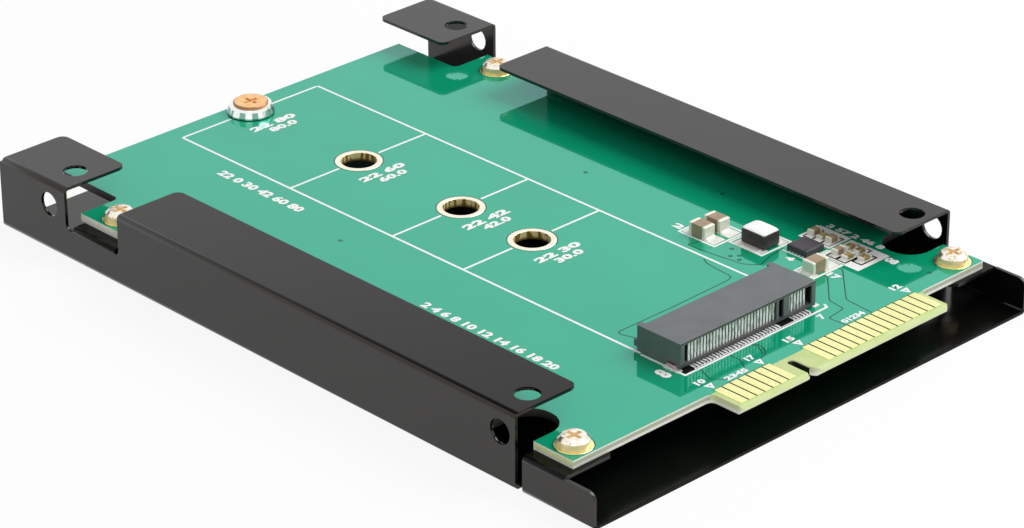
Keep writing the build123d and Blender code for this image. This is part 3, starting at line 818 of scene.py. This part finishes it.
def digits(mesh, text, x, y, height, width, turn=0):
    """Plain numbers whose lower left corner is at x, y; turn is in degrees."""
    swell = 0.055
    curve = bpy.data.curves.new("digits", "FONT")
    curve.body = text
    curve.resolution_u = 2
    curve.offset = swell
    holder = bpy.data.objects.new("digits", curve)
    bpy.context.scene.collection.objects.link(holder)
    flat = bpy.data.meshes.new_from_object(holder)
    bpy.data.objects.remove(holder)
    xs = [v.co.x for v in flat.vertices]
    ys = [v.co.y for v in flat.vertices]
    flat.transform(Matrix.Translation((-min(xs), -min(ys), 0.0)))
    flat.transform(Matrix.Diagonal((width / (max(xs) - min(xs)), height / (max(ys) - min(ys)), 1.0, 1.0)))
    flat.transform(Matrix.Translation((x, y, INK_HIGH)) @ Matrix.Rotation(math.radians(turn), 4, "Z"))
    mesh.from_mesh(flat)
    bpy.data.meshes.remove(flat)
    bpy.data.curves.remove(curve)


def ink_line(mesh, points, width, closed=False):
    stroke(mesh, points, width, INK_LOW, INK_HIGH, closed)


def card_outline(white):
    """The card's outline, with a cross line at each length that it may have."""
    mesh = bmesh.new()
    for side, end in ((-CARD_HALF, CARD_LEFT_END), (CARD_HALF, SOCKET_HIGH.y + 0.1)):
        ink_line(mesh, ((side, hole_row(NUT_HOLE)), (side, end)), CARD_LINE)
    inside = CARD_HALF - CARD_LINE / 2 + 0.002
    for length, gap in CARD_ROWS:
        y = hole_row(length)
        for sign in (-1, 1):
            ink_line(mesh, ((sign * gap, y), (sign * inside, y)), CARD_LINE)
    left = -CARD_HALF - 0.2
    ink_line(mesh, ((left, CARD_LEFT_END - 0.25), (left, SOCKET_FRONT), (SOCKET_RIGHT, SOCKET_FRONT),
                    (SOCKET_RIGHT + 0.35, SOCKET_FRONT + 0.7)), SOCKET_LINE)
    pins = solids("socket_upper_contacts")
    ink_line(mesh, ((pins[0][0].x, FEET_LINE_Y), (pins[-1][1].x, FEET_LINE_Y)), FEET_LINE)
    piece("card_outline_print", mesh, white)


def position_numbers(white):
    """Plain length numbers by each card hole, and two rows of them along the outline."""
    mesh = bmesh.new()
    for length, _ in CARD_ROWS:
        for pattern, x, y, height, width in HOLE_NUMBERS:
            digits(mesh, pattern.format(length), x, hole_row(length) + y, height, width)
    for row in ROW_NUMBERS:
        digits(mesh, *row)
    piece("position_number_print", mesh, white)


def part_outlines(white):
    """Outlines round the small parts, their plain numbers and the groups' white grounds."""
    mesh = bmesh.new()
    for box in PART_BOXES:
        ink_line(mesh, corners(*box), PART_LINE, closed=True)
    ink_line(mesh, CORNER_MARK, CORNER_LINE)
    for box in GROUP_BOXES:
        ink_line(mesh, corners(*box), GROUP_LINE, closed=True)
        plate(mesh, corners(*box), INK_LOW, GROUND_HIGH)
    for number in PART_NUMBERS:
        digits(mesh, *number)
    piece("part_outline_print", mesh, white)


def arrow(x, half, rear, tip):
    """Triangle that points forwards."""
    return ((x - half, rear), (x + half, rear), (x, tip))


def contact_arrows(white):
    """Hollow triangles that point at the first and last contacts of each group."""
    mesh = bmesh.new()
    for x in ARROW_PLACES:
        plate(mesh, arrow(x, *ARROW), INK_LOW, INK_HIGH, hole=arrow(x, *ARROW_HOLLOW))
    piece("contact_arrow_print", mesh, white)


# Copper on the board

SKIN_LOW = BOARD_TOP - 0.002
SKIN_HIGH = BOARD_TOP + 0.006
RING_STEP = BOARD_TOP + 0.007
RING_TOP = BOARD_TOP + 0.04
PAD_HIGH = BOARD_TOP + 0.03
HOLE_BORE, HOLE_RING = 2.225, 2.9
SCREW_BORE, SCREW_RING = 1.2, 2.17
FEET_FRONT, FEET_REAR = -39.66, -38.55
FEET_GROUND_LEFT, FEET_GROUND_FRONT, FEET_GROUND_REAR = -10.95, -40.1, -38.6
TRACK_WIDE, TRACK_BEND = 0.15, 0.45

# Points of each track
TRACKS = (
    ((17.3, -34.6), (17.3, -35.3), (13.1, -39.3), (12.75, -41.8), (9.85, -42.1), (10.0, -44.5)),
    ((19.85, -34.6), (19.85, -35.3), (14.6, -40.5), (14.3, -44.6)),
    ((10.6, -22.3), (10.02, -23.22), (9.73, -25.57), (9.61, -27.5), (8.87, -27.93), (-0.83, -28.14),
     (-9.16, -28.04), (-9.45, -28.59), (-8.9, -30.22), (-8.3, -32.0)),
    ((-0.6, -40.2), (-0.3, -41.4), (-1.2, -42.95), (-2.6, -43.3)),
    ((-0.9, -40.2), (-0.65, -41.3), (-1.6, -42.7)),
    ((-4.3, -40.2), (-4.4, -42.1), (-5.3, -43.5)),
    ((-8.9, -40.2), (-9.9, -42.7), (-8.4, -44.2)),
    ((14.3, -19.2), (11.9, -18.4), (12.0, -20.6), (12.8, -26.3), (14.1, -27.9), (16.4, -27.2),
     (19.2, -26.8)),
)
VIAS = ((14.76, -22.8), (13.28, -23.94), (13.32, -25.34), (14.1, -24.6), (26.35, -42.7),
        (-26.4, -18.0), (24.6, -12.0), (17.2, 3.5), (-16.0, 10.4))

# Left, front, right and rear of the pads under the larger parts
LARGE_PADS = (
    (13.95, -20.7, 15.95, -18.5),
    (13.95, -17.1, 15.95, -15.65),
    (16.5, -20.7, 18.5, -18.5),
    (16.5, -17.1, 18.5, -15.65),
    (16.05, -26.15, 17.3, -21.8),
    (19.2, -26.15, 20.7, -21.8),
    (15.98, -34.3, 16.9, -31.9),
    (18.1, -34.3, 20.5, -31.9),
)


def traces(dark):
    """Edges of the copper tracks under the mask."""
    mesh = bmesh.new()
    for track in TRACKS:
        stroke(mesh, eased(track, TRACK_BEND), TRACK_WIDE, INK_LOW, SKIN_HIGH)
    piece("copper_tracks", mesh, dark)


def mask_edge(mesh, middle, radius, width):
    """Dark step of the mask round a ring."""
    outside = radius + width
    lathe(mesh, middle.x, middle.y, ((radius, BOARD_TOP), (radius, RING_STEP),
                                     (outside, RING_STEP), (outside, BOARD_TOP)))


def gold_rings(golden, dark):
    """Plated rings of the card holes and the board screws, each with a dark edge in the mask."""
    rings, edges, holes = bmesh.new(), bmesh.new(), bmesh.new()
    for length in OPEN_HOLES:
        middle = centre(node_box(hole_name(length)))
        profile = ((HOLE_BORE, BOARD_TOP), (HOLE_BORE, RING_TOP - 0.012), (HOLE_BORE + 0.02, RING_TOP),
                   (HOLE_RING - 0.08, RING_TOP), (HOLE_RING - 0.03, RING_TOP - 0.015),
                   (HOLE_RING, BOARD_TOP))
        lathe(holes, middle.x, middle.y, profile)
        mask_edge(edges, middle, HOLE_RING, 0.12)
    for pair in solids("board_screws"):
        middle = centre(pair)
        top = RING_TOP - 0.005
        lathe(rings, middle.x, middle.y, ((SCREW_BORE, BOARD_TOP), (SCREW_BORE, top),
                                          (SCREW_RING - 0.05, top), (SCREW_RING, BOARD_TOP)))
        mask_edge(edges, middle, SCREW_RING, 0.1)
    piece("screw_rings", rings, golden)
    piece("card_hole_rings", holes, hole_gold())
    piece("mask_edges", edges, dark)


def contact_gaps(dark):
    """Near-black sheets of painted shade between neighbouring contacts, behind them, and round the small
    parts' pads.
    """
    mesh = bmesh.new()
    # Painted shade between and behind the edge contacts.
    for name in ("signal_pads", "power_pads"):
        pads = solids(name)
        for left, right in zip(pads, pads[1:]):
            gap = rounded(left[1].x, left[0].y, right[0].x, left[1].y, 0.03, 1)
            plate(mesh, gap, SKIN_LOW, SKIN_HIGH)
        rear = pads[0][1].y
        behind = rounded(pads[0][0].x - 0.1, rear, pads[-1][1].x + 0.1, rear + 0.13, 0.03, 1)
        plate(mesh, behind, SKIN_LOW, SKIN_HIGH)
    # Painted shade among the socket contacts' feet.
    pins = solids("socket_upper_contacts")
    right = pins[-1][1].x + 0.25
    feet_shade = rounded(FEET_GROUND_LEFT, FEET_GROUND_FRONT, right, FEET_GROUND_REAR, 0.1)
    plate(mesh, feet_shade, SKIN_LOW, SKIN_HIGH - 0.001)
    # Painted shade round the small parts' pads.
    end, side, width = 0.84, 0.28, 0.24
    for name in ("small_capacitor_bodies", "resistor_bodies"):
        for low, high in solids(name):
            outline = corners(low.x - end, low.y - side, high.x + end, high.y + side)
            stroke(mesh, outline, width, SKIN_LOW, SKIN_HIGH, closed=True)
    piece("contact_gaps", mesh, dark)


def vias(dark):
    """Small plated holes under the mask: a raised lip round a dimple."""
    mesh = bmesh.new()
    profile = ((0.11, BOARD_TOP), (0.11, BOARD_TOP + 0.006), (0.15, BOARD_TOP + 0.014),
               (0.24, BOARD_TOP + 0.01), (0.28, BOARD_TOP))
    for x, y in VIAS:
        lathe(mesh, x, y, profile, 16)
    piece("via_lips", mesh, dark)


def part_pads(pale):
    """Soldered pads that stand out from under the parts."""
    mesh = bmesh.new()
    radius, nail_radius, foot_radius = 0.15, 0.12, 0.05
    outlines = [rounded(*pad, radius) for pad in LARGE_PADS]
    end, side = 0.36, 0.12
    for name in ("small_capacitor_terminals", "resistor_terminals"):
        for low, high in solids(name):
            outlines.append(rounded(low.x - end, low.y - side, high.x + end, high.y + side, radius, 3))
    side, front, rear = 0.05, 0.85, 0.2
    for low, high in solids("socket_solder_nails"):
        outlines.append(rounded(low.x - side, low.y - front, high.x + side, high.y + rear, nail_radius))
    for low, high in solids("socket_upper_contacts"):
        outlines.append(rounded(low.x + side, FEET_FRONT, high.x - side, FEET_REAR, foot_radius, 2))
    for outline in outlines:
        plate(mesh, outline, SKIN_LOW, PAD_HIGH)
    piece("part_pads", mesh, pale)


def fillet(mesh, x, y, out, width, reach, height, steps=6):
    """Hollow-faced solder wedge from a terminal's face at x, y down to its pad."""
    hollow, side_drop, side_tuck, pad_lift = 2.4, 0.4, 0.12, 0.025
    out = Vector(out)
    side = Vector((-out.y, out.x))
    rows = []
    for i in range(steps + 1):
        t = i / steps
        row = []
        for j in range(steps + 1):
            s = 2 * j / steps - 1
            rise = height * (1 - t) ** hollow * (1 - side_drop * abs(s) ** 3)
            away = t * reach * (1 - side_tuck * s * s)
            spot = Vector((x, y)) + out * away + side * (s * width / 2)
            row.append(mesh.verts.new((spot.x, spot.y, BOARD_TOP + pad_lift + rise)))
        rows.append(row)
    for i in range(steps):
        for j in range(steps):
            mesh.faces.new((rows[i][j], rows[i][j + 1], rows[i + 1][j + 1], rows[i + 1][j]))
    rim = rows[0] + [r[-1] for r in rows[1:]] + rows[-1][-2::-1] + [r[0] for r in rows[-2:0:-1]]
    base = [mesh.verts.new((v.co.x, v.co.y, BOARD_TOP)) for v in rim]
    ring_between(mesh, rim, base)


# Terminals, their bodies, the axis that the terminals point along, and the solder's reach and height
SOLDERED = (
    ("capacitor_a_terminals", "capacitor_a_body", 1, 0.7, 0.28),
    ("capacitor_b_terminals", "capacitor_b_body", 1, 0.7, 0.28),
    ("capacitor_c_terminals", "capacitor_c_body", 0, 0.5, 0.28),
    ("small_capacitor_terminals", "small_capacitor_bodies", 0, 0.26, 0.4),
    ("resistor_terminals", "resistor_bodies", 0, 0.26, 0.3),
    ("socket_solder_nails", "socket_housing", 0, 0.08, 0.3),
    ("inductor_terminals", "inductor_body", 0, 0.22, 0.1),
)


def solder_joints(material):
    """A solder wedge at the outer face of each terminal and each contact's foot."""
    mesh = bmesh.new()
    for terminals, bodies, axis, reach, height in SOLDERED:
        middles = [centre(pair) for pair in solids(bodies)]
        for low, high in solids(terminals):
            middle = (low + high) / 2
            body = min(middles, key=lambda spot: (spot - middle).length)
            sign = 1 if middle[axis] > body[axis] else -1
            face = (high if sign > 0 else low)[axis]
            if axis == 0:
                fillet(mesh, face, middle.y, (sign, 0), high.y - low.y, reach, height)
            else:
                fillet(mesh, middle.x, face, (0, sign), high.x - low.x, reach, height)
    overlap, width, reach, height = 0.02, 0.24, 0.06, 0.09
    for low, high in solids("socket_upper_contacts"):
        fillet(mesh, (low.x + high.x) / 2, low.y + overlap, (0, -1), width, reach, height, steps=3)
    piece("solder_joints", mesh, material, smooth=True)


# A part that is rounder than its solid

def squircle(mesh, x, y, z, half_x, half_y, power, steps=64):
    """Level ring between a circle and a square; a higher power gives tighter corners."""
    ring = []
    for i in range(steps):
        angle = 2 * math.pi * i / steps
        c, s = math.cos(angle), math.sin(angle)
        px = half_x * math.copysign(abs(c) ** (2 / power), c)
        py = half_y * math.copysign(abs(s) ** (2 / power), s)
        ring.append(mesh.verts.new((x + px, y + py, z)))
    return ring


def rounded_inductor(coat):
    """Pressed inductor: a soft square with a crowned top."""
    low, high = node_box("inductor_body")
    middle = (low + high) / 2
    half_x, half_y = (high.x - low.x) / 2, (high.y - low.y) / 2
    # Height, share of the full width and power of each ring
    profile = ((low.z, 0.985, 9.0), (low.z + 0.06, 1.0, 9.0), (high.z - 0.5, 1.0, 9.0),
               (high.z - 0.26, 0.995, 7.5), (high.z - 0.12, 0.975, 6.0), (high.z - 0.04, 0.94, 5.0),
               (high.z, 0.88, 4.4), (high.z, 0.3, 4.0))
    mesh = bmesh.new()
    rings = []
    for z, share, power in profile:
        rings.append(squircle(mesh, middle.x, middle.y, z, half_x * share, half_y * share, power))
    for first, second in zip(rings, rings[1:]):
        ring_between(mesh, first, second)
    mesh.faces.new(rings[0])
    mesh.faces.new(rings[-1])
    body = piece("rounded_inductor", mesh, coat, smooth=True)
    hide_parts("inductor_body")


# Stage, in metres

def lamp(name, place, size, power):
    """A round lamp aimed at the origin."""
    data = bpy.data.lights.new(name, "AREA")
    data.shape = "DISK"
    data.size = size
    data.energy = power
    thing = bpy.data.objects.new(name, data)
    bpy.context.scene.collection.objects.link(thing)
    thing.location = place
    thing.rotation_euler = (-Vector(place)).to_track_quat("-Z", "Y").to_euler()


def seen_directly(tree):
    """1 for rays from the camera, a mirror or glass; 0 for the light on the object."""
    path = tree.nodes.new("ShaderNodeLightPath").outputs
    clear = either(tree, path["Is Camera Ray"], path["Is Glossy Ray"])
    return either(tree, clear, path["Is Transmission Ray"])


def studio_world():
    """White surroundings that light the object more dimly than they look."""
    world = bpy.data.worlds.new("studio")
    world.use_nodes = True
    tree = world.node_tree
    light = tree.nodes["Background"]
    light.inputs["Color"].default_value = (1.0, 1.0, 1.0, 1.0)
    tree.links.new(choice(tree, seen_directly(tree), 0.42, 1.0), light.inputs["Strength"])
    bpy.context.scene.world = world


def studio_floor():
    """Pale floor that is white to the camera and still shows a soft shadow."""
    radius, drop, steps = 3.0, 0.00002, 64
    material, tree, shader, place = start_material("studio_floor", 0.7)
    cloud = ramp(tree, noise(tree, place, 300.0))
    tree.links.new(blend(tree, cloud, (0.9, 0.9, 0.9), (0.92, 0.92, 0.92)), shader.inputs["Base Color"])
    glow = tree.nodes.new("ShaderNodeEmission")
    glow.inputs["Color"].default_value = (1.0, 1.0, 1.0, 1.0)
    mix = tree.nodes.new("ShaderNodeMixShader")
    tree.links.new(times(tree, seen_directly(tree), 0.9), mix.inputs[0])
    tree.links.new(shader.outputs[0], mix.inputs[1])
    tree.links.new(glow.outputs[0], mix.inputs[2])
    tree.links.new(mix.outputs[0], tree.nodes["Material Output"].inputs["Surface"])
    mesh_data = bmesh.new()
    rim = [mesh_data.verts.new((x, y, -drop)) for x, y in circle(0.0, 0.0, radius, steps)]
    mesh_data.faces.new(rim)
    mesh = bpy.data.meshes.new("floor")
    mesh_data.to_mesh(mesh)
    mesh_data.free()
    mesh.materials.append(material)
    floor = bpy.data.objects.new("floor", mesh)
    bpy.context.scene.collection.objects.link(floor)


def photo_camera():
    """The photograph's viewpoint, fitted to the frame's corners and the board's known spacings."""
    sensor, focal_pixels, photo_pixels = 36.0, 3890.284, 1024.0
    place = Vector((-280.947, -294.28, 205.953)) * MM
    right = Vector((0.71988, -0.69409, -0.00438))
    down = Vector((-0.31559, -0.32168, -0.8927))
    forward = Vector((0.61821, 0.64402, -0.45062))
    data = bpy.data.cameras.new("camera")
    data.sensor_width = sensor
    data.lens = sensor * focal_pixels / photo_pixels
    data.clip_start = 0.01
    data.clip_end = 20.0
    camera = bpy.data.objects.new("camera", data)
    bpy.context.scene.collection.objects.link(camera)
    turn = Matrix((right, -down, -forward)).transposed().to_4x4()
    camera.matrix_world = Matrix.Translation(place) @ turn
    bpy.context.scene.camera = camera


bpy.context.scene.view_settings.view_transform = "Standard"
golden_finish, pale_finish, coat_finish = dress_nodes()
soften_edges("frame", width=0.07)
for capacitor in LARGE_CAPACITORS:
    soften_edges(capacitor + "_terminals", width=0.12, segments=3)
white_finish, dark_finish = ink(), trace_edge()
card_outline(white_finish)
position_numbers(white_finish)
part_outlines(white_finish)
contact_arrows(white_finish)
traces(dark_finish)
gold_rings(golden_finish, dark_finish)
contact_gaps(dark_mask())
vias(dark_finish)
part_pads(pale_finish)
solder_joints(solder())
rounded_inductor(coat_finish)
studio_world()
studio_floor()
lamp("key_lamp", (0.4, -0.16, 0.5), size=0.6, power=3.4)
lamp("fill_lamp", (-0.35, -0.3, 0.4), size=0.35, power=0.35)
photo_camera()
